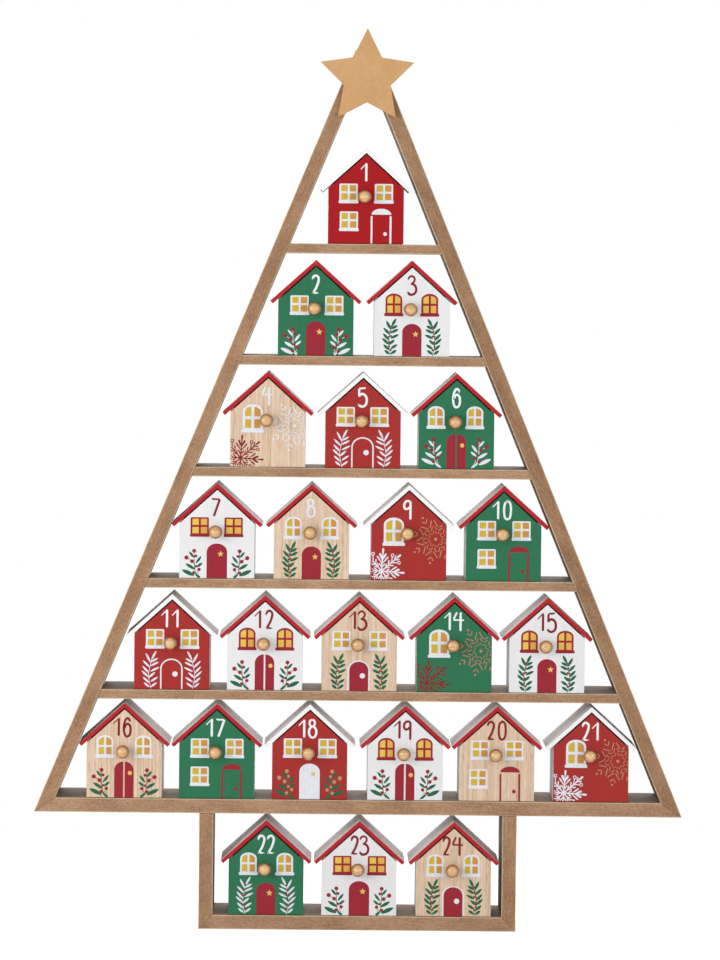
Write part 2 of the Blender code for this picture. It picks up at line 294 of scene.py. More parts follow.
def soften(solid, width, sharp_face=None):
    """Rounds every edge by the width, apart from those of the face that is left sharp."""
    edges = [edge for edge in solid.edges if sharp_face not in edge.link_faces]
    bmesh.ops.bevel(solid, geom=edges, offset=width, segments=ROUND_STEPS, profile=0.5,
                    affect="EDGES", clamp_overlap=True)


def set_material(faces, index):
    for polygon in faces:
        polygon.material_index = index


def finished_mesh(solid, name, materials):
    bmesh.ops.recalc_face_normals(solid, faces=solid.faces)
    mesh = bpy.data.meshes.new(name)
    solid.to_mesh(mesh)
    solid.free()
    for material in materials:
        mesh.materials.append(material)
    return mesh


def finished_piece(name, mesh, body, slot, *nodes):
    """An object of a finished mesh, which rides on a body and stands for CAD nodes."""
    obj = link_object(name, mesh)
    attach(obj, body)
    if nodes:
        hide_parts(*nodes)


def make_board(node_name, sawn, face, arris):
    """A board with its long edges eased, and with its ends pressed into the glue of the joints."""
    solid = solid_copy(node_name)
    longest = max(solid.edges, key=lambda edge: edge.calc_length())
    along = (longest.verts[1].co - longest.verts[0].co).normalized()
    least = BROAD_SHARE * max(polygon.calc_area() for polygon in solid.faces)
    flat = [polygon for polygon in solid.faces if abs(polygon.normal.y) > 0.5]
    broad = [polygon for polygon in solid.faces if polygon.calc_area() > least and polygon not in flat]
    set_material(broad, 1)
    for polygon in solid.faces:
        if polygon not in broad and polygon not in flat:
            outward = END_REACH if polygon.normal.dot(along) > 0 else -END_REACH
            bmesh.ops.translate(solid, verts=polygon.verts, vec=along * outward)
    long_edges = [edge for edge in solid.edges if any(side in broad for side in edge.link_faces)
                  and any(side in flat for side in edge.link_faces)]
    eased = bmesh.ops.bevel(solid, geom=long_edges, offset=ARRIS, segments=ROUND_STEPS, profile=0.5,
                            affect="EDGES")
    # The eased edges take the pale colour, a painted highlight
    set_material(eased["faces"], 2)
    mesh = finished_mesh(solid, node_name + "_board", [sawn, face, arris])
    finished_piece(node_name + "_board", mesh, BOARD_BODY, "brown_board", node_name)


board_groups = {
    "level": (0.0, SHELF_BROWN,
              ("shelf_1", "shelf_2", "shelf_3", "shelf_4", "shelf_5", "base_rail", "trunk_base")),
    "upright": (pi / 2, SAWN_BROWN, ("trunk_left", "trunk_right")),
    "right": (pi / 2 - TREE_LEAN, RIGHT_RAIL_SHADE_BROWN, ("right_rail",)),
    "left": (pi / 2 + TREE_LEAN, SAWN_BROWN, ("left_rail",)),
}
for direction, (lean, brown, names) in board_groups.items():
    sawn = fibreboard(f"MDF sawn edge {direction}", brown, lean, *SAWN)
    face = fibreboard(f"MDF pressed face {direction}", FACE_GREY_AND_SHADE, lean, *PRESSED)
    arris = fibreboard(f"MDF arris with painted highlight {direction}", ARRIS_HIGHLIGHT_PALE, lean, *SANDED)
    for name in names:
        make_board(name, sawn, face, arris)


# Star
# A five-pointed star sawn from thin pale board, with its points and edges rounded by sanding,
# glued flat on the front over the joint of the two long rails.
STAR_ROUND = 0.00035
STAR_GRAIN = radians(75)
STAR_PALE = ("#C69969", "#CDA16E", "#D4A977")

star = solid_copy("star")
soften(star, STAR_ROUND)
pale_board = fibreboard("pale basswood board", STAR_PALE, STAR_GRAIN, *SANDED)
star_mesh = finished_mesh(star, "star_board", [pale_board])
finished_piece("star_board", star_mesh, BOARD_BODY, "pale_board", "star")


# House cases
# Each case is four thin boards, floor, two walls and a gabled back, glued and painted white.
# It is glued to its shelf and stays open at the front for the drawer.
HOUSES = 24
HOUSE_HALF_WIDTH = 0.0250
HOUSE_DEPTH = 0.0480
WALL_HEIGHT = 0.0374
WALL = 0.0025
# How far the walls and floor stand behind the front edge of the roof
CASE_FRONT = 0.0034
ROOF_PITCH = radians(42.1)
PAINTED_EDGE = 0.00025

# Length and width of the paint's streaks, patches and grit, and how much the patches show
PAINT_STREAK = (0.030, 0.0007)
PAINT_PATCH = (0.012, 0.006)
PAINT_GRIT = (0.0009, 0.0009)
PATCH_SHARE = 0.35
# A streak lightens the paint by this share of what it darkens it by
STREAK_LIFT = 0.6
PAINT_BUMP = 0.35
PAINT_RELIEF = 0.00006
PAINT_SPECULAR = 0.22
EMULSION_ROUGHNESS = 0.5
# The part of a pattern's range over which it changes the tone
PATTERN_LOW = 0.3
PATTERN_HIGH = 0.7

ridge_underside = WALL_HEIGHT + HOUSE_HALF_WIDTH * tan(ROOF_PITCH)


def under_roof(x):
    """Height of the roof's underside, which the walls are sawn to."""
    return ridge_underside - abs(x) * tan(ROOF_PITCH)


def seat_of(number):
    """The point under the middle of a house's front."""
    low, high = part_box(f"house_{number:02d}")
    return Vector(((low.x + high.x) / 2, low.y, low.z))


def board(outline, front, back, round_edge, mitre=None):
    """A board with an outline in X and Z, from Y = front to Y = back, as its own solid.

    A mitre, named by the side it faces, keeps its edges sharp."""
    solid = bmesh.new()
    base = solid.faces.new([solid.verts.new((x, front, z)) for x, z in outline])
    extruded = bmesh.ops.extrude_face_region(solid, geom=[base])["geom"]
    moved = [item for item in extruded if isinstance(item, bmesh.types.BMVert)]
    bmesh.ops.translate(solid, verts=moved, vec=(0, back - front, 0))
    bmesh.ops.recalc_face_normals(solid, faces=solid.faces)
    if round_edge:
        faces = [polygon for polygon in solid.faces if mitre and polygon.normal.x * mitre > 0.99]
        soften(solid, round_edge, sharp_face=faces[0] if faces else None)
    return solid


def rectangle(left, right, bottom, top):
    return [(right, bottom), (right, top), (left, top), (left, bottom)]


def mirrored(outline):
    """The same outline on the other side of the house."""
    return [(-x, z) for x, z in reversed(outline)]


def joined(solids):
    """One bmesh of several, each left as its own shell."""
    whole = bmesh.new()
    for solid in solids:
        mesh = bpy.data.meshes.new("part")
        solid.to_mesh(mesh)
        solid.free()
        whole.from_mesh(mesh)
        bpy.data.meshes.remove(mesh)
    return whole


def uneven(tree, colour, pattern, darkest, lightest):
    """A colour whose brightness follows a pattern."""
    value = add(tree, "ShaderNodeMapRange",
                {0: pattern, 1: PATTERN_LOW, 2: PATTERN_HIGH, 3: darkest, 4: lightest}).outputs[0]
    return add(tree, "ShaderNodeHueSaturation", {"Color": linear(colour), "Value": value}).outputs[0]


def painted_board(name, colour, streak, roughness, speckle=0.0, deep=None):
    """Water-based paint, rolled thin on wood: the upright grain shows as faint streaks."""
    material = new_material(name)
    tree = material.node_tree
    streaks = grain(tree, pi / 2, PAINT_STREAK, 3.0, 0.6)
    mixed = blend(tree, PATCH_SHARE, streaks, grain(tree, pi / 2, PAINT_PATCH, 3.0))
    mixed = blend(tree, speckle, mixed, grain(tree, 0, PAINT_GRIT, 2.0, deep=deep))
    shade = uneven(tree, colour, mixed, 1 - streak, 1 + STREAK_LIFT * streak)
    return finish_surface(material, shade, mixed, PAINT_BUMP, PAINT_RELIEF, roughness, PAINT_SPECULAR)


def case_boards():
    inner = HOUSE_HALF_WIDTH - WALL
    shoulder = under_roof(inner)
    back = HOUSE_DEPTH - WALL
    wall = [(HOUSE_HALF_WIDTH, 0), (HOUSE_HALF_WIDTH, under_roof(HOUSE_HALF_WIDTH)),
            (inner, shoulder), (inner, 0)]
    gable = [(inner, 0), (inner, shoulder), (0, ridge_underside), (-inner, shoulder), (-inner, 0)]
    return joined([
        board(wall, CASE_FRONT, HOUSE_DEPTH, PAINTED_EDGE),
        board(mirrored(wall), CASE_FRONT, HOUSE_DEPTH, PAINTED_EDGE),
        board(gable, back, HOUSE_DEPTH, PAINTED_EDGE),
        board(rectangle(-inner, inner, 0, WALL), CASE_FRONT, back, PAINTED_EDGE),
    ])


def house_piece(kind, number, mesh, part, slot):
    """A copy of a mesh at a house's place, as a piece of the fixed house or of its drawer."""
    node = f"{part}_{number:02d}"
    copy = mesh.copy()
    copy.name = f"{kind}_{number:02d}"
    copy.transform(Matrix.Translation(seats[number]))
    finished_piece(copy.name, copy, BOARD_BODY if part == "house" else node, slot, node)


white_paint = painted_board("white emulsion on board", "#E6E6E8", 0.02, EMULSION_ROUGHNESS)
case_mesh = finished_mesh(case_boards(), "case", [white_paint])
seats = {number: seat_of(number) for number in range(1, HOUSES + 1)}
for number in seats:
    house_piece("case", number, case_mesh, "house", "case_white")


# Roofs
# Two thin boards that meet in a mitre at the ridge and hang over the walls. Their tops are
# painted a chalky white, and their front edges red or white.
ROOF_THICKNESS = 0.0025
ROOF_HALF_WIDTH = 0.0303
ROOF_ROUND = 0.00022
MITRE_GAP = 0.00001
GRIT_SHARE = 0.8
GRIT_DEPTH = 0.010
ENAMEL_ROUGHNESS = 0.42
WHITE_ROOF_EDGES = (1, 5, 9, 11, 18, 21)

ridge_top = ridge_underside + ROOF_THICKNESS / cos(ROOF_PITCH)
eave_top = ridge_top - ROOF_HALF_WIDTH * tan(ROOF_PITCH)
roof_top_paint = painted_board("chalk white roof paint", "#EFEAEA", 0.14, 0.75, GRIT_SHARE, GRIT_DEPTH)
roof_edge_paints = {
    "red": painted_board("red enamel edge", "#B42026", 0.05, ENAMEL_ROUGHNESS),
    "white": painted_board("white enamel edge", "#F4F4F4", 0.02, ENAMEL_ROUGHNESS),
}


def roof_boards():
    low_x = ROOF_HALF_WIDTH - ROOF_THICKNESS * sin(ROOF_PITCH)
    low_z = eave_top - ROOF_THICKNESS * cos(ROOF_PITCH)
    slope = [(low_x, low_z), (ROOF_HALF_WIDTH, eave_top),
             (MITRE_GAP, ridge_top), (MITRE_GAP, ridge_underside)]
    roof = joined([board(slope, 0, HOUSE_DEPTH, ROOF_ROUND, mitre=-1),
                   board(mirrored(slope), 0, HOUSE_DEPTH, ROOF_ROUND, mitre=1)])
    set_material([polygon for polygon in roof.faces if polygon.calc_center_median().y < ROOF_ROUND], 1)
    return roof


roof_meshes = {edge: finished_mesh(roof_boards(), "roof", [roof_top_paint, paint])
               for edge, paint in roof_edge_paints.items()}
for number in seats:
    mesh = roof_meshes["white" if number in WHITE_ROOF_EDGES else "red"]
    house_piece("roof", number, mesh, "house", "case_white")


# Drawer fronts
# A gabled board in front of each drawer, just inside the roof. Six each are painted red,
# green and white, and six are bare light wood with an upright grain.
FRONT_THICKNESS = 0.0030
ROOF_GAP = 0.0009
FRONT_ROUND = 0.00022
FRONT_PAINT = {
    "red": (1, 5, 9, 11, 18, 21),
    "green": (2, 6, 10, 14, 17, 22),
    "white": (3, 7, 12, 15, 19, 23),
    "wood": (4, 8, 13, 16, 20, 24),
}

# Length and width of the wood's growth rings and pores, and how much the pores show
WOOD_RINGS = (0.120, 0.0012)
WOOD_PORES = (0.008, 0.0003)
PORE_SHARE = 0.5
WOOD_TONES = (0.37, 0.48, 0.60)
WOOD_BUMP = 0.4
WOOD_RELIEF = 0.00006
WOOD_SPECULAR = 0.3

paint_of = {number: paint for paint, numbers in FRONT_PAINT.items() for number in numbers}
front_ridge = ridge_underside - ROOF_GAP / cos(ROOF_PITCH)


def bare_wood(name, colours, lean, roughness):
    """Bare light wood: growth rings as soft bands, with fine darker pores between."""
    material = new_material(name)
    tree = material.node_tree
    rings = grain(tree, lean, WOOD_RINGS, 3.0, 0.6, 0.3)
    mixed = blend(tree, PORE_SHARE, rings, grain(tree, lean, WOOD_PORES, 2.0))
    colour = ramp(tree, mixed, colours, WOOD_TONES)
    return finish_surface(material, colour, mixed, WOOD_BUMP, WOOD_RELIEF, roughness, WOOD_SPECULAR)


def gable_front(material):
    shoulder = front_ridge - HOUSE_HALF_WIDTH * tan(ROOF_PITCH)
    outline = [(HOUSE_HALF_WIDTH, 0), (HOUSE_HALF_WIDTH, shoulder), (0, front_ridge),
               (-HOUSE_HALF_WIDTH, shoulder), (-HOUSE_HALF_WIDTH, 0)]
    return finished_mesh(board(outline, 0, FRONT_THICKNESS, FRONT_ROUND), "front", [material])


front_meshes = {
    "wood": gable_front(bare_wood("bare paulownia", ("#BD9B7E", "#D8BCA0", "#E4CEB8"), pi / 2, 0.6)),
    "red": gable_front(painted_board("red emulsion on wood", "#A42C27", 0.09, EMULSION_ROUGHNESS)),
    "green": gable_front(painted_board("green emulsion on wood", "#28704D", 0.09, EMULSION_ROUGHNESS)),
    "white": gable_front(painted_board("white emulsion on wood", "#E7E7E8", 0.03, EMULSION_ROUGHNESS)),
    # The first house is a purer red than the others
    "first": gable_front(painted_board("red emulsion on wood, new tin", "#A50A12", 0.07, EMULSION_ROUGHNESS)),
}
for number in seats:
    paint = paint_of[number]
    mesh = front_meshes["first" if number == 1 else paint]
    house_piece("front", number, mesh, "drawer", "front_" + paint)


# Drawer trays
# An open box of thin pale plywood behind each front: a floor, two sides and a back, with
# the sides let into the front.
TRAY_HALF_WIDTH = 0.0221
TRAY_BOTTOM = 0.0028
TRAY_HEIGHT = 0.0320
TRAY_BACK = 0.0445
TRAY_BOARD = 0.0020
TENON = 0.0012
TRAY_ROUND = 0.00015

plywood = bare_wood("poplar plywood", ("#C9AC88", "#DCC5A2", "#E8D6B8"), 0.0, 0.62)


def tray_boards():
    top = TRAY_BOTTOM + TRAY_HEIGHT
    floor_top = TRAY_BOTTOM + TRAY_BOARD
    inner = TRAY_HALF_WIDTH - TRAY_BOARD
    start = FRONT_THICKNESS - TENON
    inner_back = TRAY_BACK - TRAY_BOARD
    side = rectangle(inner, TRAY_HALF_WIDTH, TRAY_BOTTOM, top)
    return joined([
        board(side, start, TRAY_BACK, TRAY_ROUND),
        board(mirrored(side), start, TRAY_BACK, TRAY_ROUND),
        board(rectangle(-inner, inner, TRAY_BOTTOM, top), inner_back, TRAY_BACK, TRAY_ROUND),
        board(rectangle(-inner, inner, TRAY_BOTTOM, floor_top), FRONT_THICKNESS, inner_back, TRAY_ROUND),
    ])


tray_mesh = finished_mesh(tray_boards(), "tray", [plywood])
for number in seats:
    house_piece("tray", number, tray_mesh, "drawer", "front_wood")


# Knobs
# A lathe-turned beech ball on a short neck, clear varnished and glued into the front, a
# little left of the middle.
KNOB_RADIUS = 0.0045
KNOB_NECK_RADIUS = 0.0023
KNOB_NECK = 0.0008
# How much the neck widens at its foot, and how deep it stands in the front
KNOB_FOOT = 1.02
KNOB_PEG = 0.0010
KNOB_X = -0.0010
KNOB_Z = 0.0310
KNOB_RINGS = 18
KNOB_SIDES = 40
# Painted shade: tints that darken the wood towards the knob's rim, and where they lie between the knob's axis
# and its widest part
RIM_SHADE_TINTS = ("#FFFFFF", "#EEDFCB", "#B68A5A", "#7A5230")
RIM_SHADE_PLACES = (0.35, 0.70, 0.88, 0.98)
VARNISH_ROUGHNESS = 0.14


def varnished_beech():
    """Beech under clear varnish, with painted shade that darkens it towards the knob's widest part."""
    material = bare_wood("varnished beech", ("#BD925A", "#DAAF76", "#EAC690"), 0.0, 0.35)
    tree = material.node_tree
    shader = tree.nodes["Principled BSDF"]
    wood = shader.inputs["Base Color"].links[0].from_socket
    girth = add(tree, "ShaderNodeAttribute", attribute_name="girth").outputs["Fac"]
    # Painted shade: the wood is multiplied darker with the girth, towards the rim
    rim_shade = ramp(tree, girth, RIM_SHADE_TINTS, RIM_SHADE_PLACES)
    darker = add(tree, "ShaderNodeMix", {0: 1.0, 6: wood, 7: rim_shade}, data_type="RGBA",
                 blend_type="MULTIPLY").outputs[2]
    tree.links.new(darker, shader.inputs["Base Color"])
    shader.inputs["Coat Weight"].default_value = 1.0
    shader.inputs["Coat Roughness"].default_value = VARNISH_ROUGHNESS
    return material


def turned_knob():
    """The knob's half profile, turned about the axis that points out of the front."""
    centre = KNOB_NECK + sqrt(KNOB_RADIUS**2 - KNOB_NECK_RADIUS**2)
    neck_angle = acos((KNOB_NECK - centre) / KNOB_RADIUS)
    profile = []
    for ring in range(1, KNOB_RINGS + 1):
        angle = neck_angle * ring / KNOB_RINGS
        profile.append((KNOB_RADIUS * sin(angle), centre + KNOB_RADIUS * cos(angle)))
    profile.append((KNOB_NECK_RADIUS * KNOB_FOOT, 0.0))
    profile.append((KNOB_NECK_RADIUS, -KNOB_PEG))
    turns = [2 * pi * side / KNOB_SIDES for side in range(KNOB_SIDES)]
    solid = bmesh.new()
    tip = solid.verts.new((0, -(centre + KNOB_RADIUS), 0))
    rings = []
    for radius, out in profile:
        rings.append([solid.verts.new((radius * cos(turn), -out, radius * sin(turn))) for turn in turns])
    for side in range(KNOB_SIDES):
        after = (side + 1) % KNOB_SIDES
        solid.faces.new((tip, rings[0][side], rings[0][after]))
        for near, far in zip(rings, rings[1:]):
            solid.faces.new((near[side], far[side], far[after], near[after]))
    solid.faces.new(rings[-1])
    girth = solid.verts.layers.float.new("girth")
    for vertex in solid.verts:
        vertex[girth] = hypot(vertex.co.x, vertex.co.z) / KNOB_RADIUS
    for polygon in solid.faces:
        polygon.smooth = True
    return solid


knob_mesh = finished_mesh(turned_knob(), "knob", [varnished_beech()])
knob_mesh.transform(Matrix.Translation((KNOB_X, 0, KNOB_Z)))
for number in seats:
    house_piece("knob", number, knob_mesh, "drawer", "front_wood")


# Printed decorations
# Numbers, windows, doors, twigs and snowflakes, screen printed in opaque inks on each front.
# The ink stands a little proud. Sizes are in millimetres from the middle of the front's foot.
MM = 0.001
INK_SIDES = 8
# Height of the first coat of ink, and what each further coat adds
COAT = 0.05
# Marks of one coat differ by this much in turn, so that no two surfaces fall together
STEP = 0.0012
STEPS = 24
# How deep the ink stands in the board
INK_BED = 0.02
EDGE_MARGIN = 0.35
# Length and width of the ink's uneven patches, and how dark and light they are
INK_PATCH = (0.0040, 0.0009)
INK_TONES = (0.92, 1.05)
INK_BUMP = 0.3
INK_RELIEF = 0.00004
INK_ROUGHNESS = 0.45
INK_SPECULAR = 0.25
# How wide strokes are along their way, or along the half width of a round end
ROUND_END = ((0.0, 0.45), (0.3, 0.8), (1.0, 1.0))
LEAF = ((0.0, 0.35), (0.2, 0.75), (0.45, 1.0), (0.7, 0.88), (0.9, 0.5), (1.0, 0.15))
PETAL = ((0.0, 0.35), (0.3, 0.6), (0.65, 1.0), (0.85, 0.95), (1.0, 0.5))

INK_COLOURS = {
    "white": "#E3E6EE",
    "bright white": "#F2F4F5",
    "red": "#97202F",
    "dark red": "#861722",
    "green": "#0C6444",
    "yellow": "#D0B03C",
    "orange": "#CD9440",
    "pale yellow": "#E8C352",
    "pale orange": "#E4B052",
    "gold": "#E8BE62",
    "salmon": "#C87A6C",
    "beige": "#B3936B",
}

# A mark is a filled shape, with plain points, or a stroke, whose points carry half its width
Mark = namedtuple("Mark", "points ink coat filled")


def ink_material(name, colour):
    """Opaque screen ink, satin, laid a little unevenly over the grain."""
    material = new_material(name)
    tree = material.node_tree
    patches = grain(tree, pi / 2, INK_PATCH, 3.0)
    shade = uneven(tree, colour, patches, *INK_TONES)
    return finish_surface(material, shade, patches, INK_BUMP, INK_RELIEF, INK_ROUGHNESS, INK_SPECULAR)


inks = {name: ink_material(f"{name} screen ink", colour) for name, colour in INK_COLOURS.items()}


def brush_tree():
    """Geometry Nodes: paths become flat strokes of ink, as wide as each point says."""
    tree = bpy.data.node_groups.new("ink strokes", "GeometryNodeTree")
    tree.interface.new_socket("Paths", in_out="INPUT", socket_type="NodeSocketGeometry")
    tree.interface.new_socket("Strokes", in_out="OUTPUT", socket_type="NodeSocketGeometry")
    given = add(tree, "NodeGroupInput")
    width = add(tree, "GeometryNodeInputNamedAttribute", {"Name": "half_width"}, data_type="FLOAT")
    height = add(tree, "GeometryNodeInputNamedAttribute", {"Name": "ink_height"}, data_type="FLOAT")
    paths = add(tree, "GeometryNodeMeshToCurve", {"Mesh": given.outputs["Paths"]})
    ring = add(tree, "GeometryNodeCurvePrimitiveCircle", {"Resolution": INK_SIDES, "Radius": 1.0})
    tube = add(tree, "GeometryNodeCurveToMesh",
               {"Curve": paths.outputs["Curve"], "Profile Curve": ring.outputs["Curve"],
                "Scale": width.outputs["Attribute"], "Fill Caps": True})
    place = add(tree, "GeometryNodeInputPosition")
    split = add(tree, "ShaderNodeSeparateXYZ", {0: place.outputs[0]})
    lowest = calculate(tree, "MULTIPLY", height.outputs["Attribute"], -1.0)
    front = calculate(tree, "MAXIMUM", split.outputs["Y"], lowest)
    back = calculate(tree, "MINIMUM", front, INK_BED * MM)
    flat = add(tree, "ShaderNodeCombineXYZ", {"X": split.outputs["X"], "Y": back, "Z": split.outputs["Z"]})
    strokes = add(tree, "GeometryNodeSetPosition",
                  {"Geometry": tube.outputs["Mesh"], "Position": flat.outputs[0]})
    add(tree, "NodeGroupOutput", {"Strokes": strokes.outputs["Geometry"]})
    return tree


INK_STROKES = brush_tree()


def line(path, width, ink, coat=1):
    """A stroke of even width with round ends."""
    half = width / 2
    points = [Vector(point) for point in path]
    first = (points[1] - points[0]).normalized()
    last = (points[-2] - points[-1]).normalized()
    start = [(*(points[0] + first * half * along), half * wide) for along, wide in ROUND_END]
    end = [(*(points[-1] + last * half * along), half * wide) for along, wide in reversed(ROUND_END)]
    middle = [(*point, half) for point in points[1:-1]]
    return Mark(start + middle + end, ink, coat, False)


def swelling(base, tip, width, ink, profile=LEAF):
    """A straight stroke whose width follows a profile."""
    points = [(*Vector(base).lerp(Vector(tip), along), width / 2 * wide) for along, wide in profile]
    return Mark(points, ink, 1, False)


def shape(points, ink, coat=1):
    return Mark(points, ink, coat, True)


def arc(centre, radius_x, radius_z, start, end, steps):
    """Points along an elliptical arc, in degrees."""
    points = []
    for step in range(steps + 1):
        angle = radians(start + (end - start) * step / steps)
        points.append((centre[0] + radius_x * cos(angle), centre[1] + radius_z * sin(angle)))
    return points


def dot(centre, radius, ink, coat=2):
    return shape(arc(centre, radius, radius, 0, 337.5, 15), ink, coat)


def block(left, bottom, right, top, ink, coat=1):
    return shape([(left, bottom), (right, bottom), (right, top), (left, top)], ink, coat)


def smooth(points, steps=5):
    """A soft curve through given points."""
    path = [Vector(point) for point in points]
    padded = [2 * path[0] - path[1]] + path + [2 * path[-1] - path[-2]]
    result = []
    for a, b, c, d in zip(padded, padded[1:], padded[2:], padded[3:]):
        for step in range(steps):
            t = step / steps
            result.append(0.5 * (2 * b + (c - a) * t + (2 * a - 5 * b + 4 * c - d) * t**2
                                 + (3 * b - a - 3 * c + d) * t**3))
    return result + [path[-1]]


def mirror(marks):
    """The same marks on the other side of the front."""
    return [mark._replace(points=[(-x, *rest) for x, *rest in mark.points]) for mark in marks]


# Numbers
# Tall thin hand-lettered digits. Each path is drawn in a box one wide and one high, after its
# share of the full stroke, and each number has its own places for its digits.
DIGIT_STROKE = 1.6
DIGIT_FOOT = 41.2
DIGIT_HEIGHT = 12.0
DIGIT_WIDTH = 4.8
NUMBER_INKS = {
    "bright white": (1, 2, 5, 6, 9, 10, 11, 14, 17, 18, 21, 22),
    "white": (4, 8),
    "dark red": (3, 7, 12, 13, 15, 16, 19, 20, 23, 24),
}
DIGITS = {
    "0": [(0.95, smooth([(0.45, 1), (0.12, 0.85), (0.02, 0.48), (0.15, 0.1), (0.48, 0), (0.84, 0.1),
        (0.98, 0.5), (0.86, 0.88), (0.5, 1), (0.4, 0.99)]))],
    "1": [(1, [(0.5, 1), (0.5, 0)]), (0.5, [(0.38, 0.93), (-0.27, 0.66)])],
    "2": [(1, smooth([(0.0, 0.74), (0.15, 0.92), (0.48, 0.98), (0.8, 0.88), (0.84, 0.7), (0.62, 0.4),
        (0.32, 0.16), (0.05, 0.0)])), (0.75, smooth([(0.05, -0.01), (0.45, 0.02), (0.88, 0.0)]))],
    "3": [(0.85, smooth([(-0.08, 0.79), (0.04, 0.93), (0.4, 1), (0.76, 0.91), (0.78, 0.75), (0.56, 0.62),
        (0.26, 0.57)])), (1.05, smooth([(0.26, 0.57), (0.72, 0.53), (1.02, 0.34), (0.93, 0.1), (0.5, -0.02),
        (0.1, 0.0), (-0.12, 0.14)]))],
    "4": [(0.85, [(0.12, 1.0), (-0.34, 0.6)]), (0.75, [(-0.36, 0.57), (1.12, 0.56)]),
        (1, [(0.64, 1.0), (0.64, -0.04)])],
    "5": [(0.8, [(-0.08, 0.96), (0.84, 0.99)]), (0.95, [(-0.08, 0.95), (-0.06, 0.5)]),
        (1.05, smooth([(-0.06, 0.52), (0.12, 0.62), (0.45, 0.66), (0.85, 0.53), (0.98, 0.3), (0.82, 0.06),
        (0.42, -0.04), (0.05, 0.0), (-0.18, 0.12)]))],
    "6": [(1, smooth([(0.84, 0.8), (0.7, 0.94), (0.43, 0.99), (0.12, 0.8), (-0.02, 0.42), (0.12, 0.08),
        (0.43, -0.03), (0.8, 0.07), (0.93, 0.33), (0.82, 0.58), (0.5, 0.68), (0.2, 0.56), (0.07, 0.38)]))],
    "7": [(0.75, [(-0.28, 0.97), (0.1, 0.95), (0.82, 0.95)]), (1, [(0.84, 0.95), (0.02, 0.0)])],
    "8": [(0.95, arc((0.34, 0.81), 0.38, 0.19, 90, 450, 12)),
        (1, arc((0.42, 0.31), 0.52, 0.31, 90, 450, 14))],
    "9": [(1, smooth([(0.66, 0.86), (0.45, 0.95), (0.05, 0.93), (-0.2, 0.77), (-0.18, 0.6), (0.05, 0.51),
        (0.4, 0.55), (0.64, 0.7)])), (1, [(0.67, 0.93), (0.67, -0.07)])],
}
ONE_DIGIT = (-2.4,)
TWO_DIGITS = (-5.4, 0.9)
OWN_PLACES = {10: (-6.3, -0.1), 11: (-5.8, 1.2), 12: (-5.8, 0.6), 13: (-5.5, -0.5), 14: (-5.6, 0.9),
              16: (-6.2, -0.4), 17: (-5.8, 0.9), 18: (-6.2, -0.2), 19: (-6.4, 0.0), 20: (-6.4, 0.9),
              21: (-6.0, 1.7), 24: (-7.1, 0.7)}


def numeral(number):
    text = str(number)
    ink = next(ink for ink, numbers in NUMBER_INKS.items() if number in numbers)
    places = OWN_PLACES.get(number, ONE_DIGIT if len(text) == 1 else TWO_DIGITS)
    marks = []
    for digit, left in zip(text, places):
        for share, path in DIGITS[digit]:
            placed_path = [(left + x * DIGIT_WIDTH, DIGIT_FOOT + z * DIGIT_HEIGHT) for x, z in path]
            marks.append(line(placed_path, share * DIGIT_STROKE, ink, coat=2))
    return marks


# Windows
# A frame printed in one ink with four warm panes over it, yellow on the left and orange on
# the right, as if lit from inside. A sill stands a little wider below.
SILL_CORNER = 0.6
# Frame and sill of a square window: left, bottom, right, top and the radius of the corners
SQUARE_BORDERS = ((0.45, 0.6, 12.6, 13.0, 0.8), (0.0, 0.0, 13.1, 1.9, SILL_CORNER))
PANE_COLUMNS = ((1.7, 5.95), (7.3, 11.5))
PANE_ROWS = ((7.9, 12.0), (2.3, 6.5))
# Of an arched window: reach of the sill, what the frame is wider than half a bar, rise of the
# arch for its half width, and height of the cross bar for the window's
SILL_REACH = 0.8
FRAME_EXTRA = 0.55
ARCH_RISE = 0.72
CROSS_HEIGHT = 0.52


def panes(columns, rows, frame_ink, arch=None):
    """Four panes, whose tops follow an arch where one is given."""
    marks = []
    warm = ("pale yellow", "pale orange") if frame_ink == "red" else ("yellow", "orange")
    for (left, right), ink in zip(columns, warm):
        for index, (bottom, top) in enumerate(rows):
            if arch and index == 0:
                middle, half, spring, rise = arch
                steps = [right + (left - right) * step / 5 for step in range(6)]
                curve = [(x, spring + rise * sqrt(max(0, 1 - ((x - middle) / half) ** 2))) for x in steps]
                marks.append(shape([(left, bottom), (right, bottom)] + curve, ink, coat=2))
            else:
                marks.append(block(left, bottom, right, top, ink, coat=2))
    return marks


def rounded(left, bottom, right, top, radius, ink):
    """A rectangle with rounded corners."""
    corners = ((right - radius, top - radius), (left + radius, top - radius),
               (left + radius, bottom + radius), (right - radius, bottom + radius))
    points = []
    for turn, corner in enumerate(corners):
        points += arc(corner, radius, radius, 90 * turn, 90 * turn + 90, 3)
    return shape(points, ink)


def square_window(left, bottom, ink):
    """A square window by the lower left corner of its sill."""
    columns = [(left + start, left + end) for start, end in PANE_COLUMNS]
    rows = [(bottom + start, bottom + end) for start, end in PANE_ROWS]
    borders = [rounded(left + x, bottom + z, left + far_x, bottom + far_z, radius, ink)
               for x, z, far_x, far_z, radius in SQUARE_BORDERS]
    return borders + panes(columns, rows, ink)


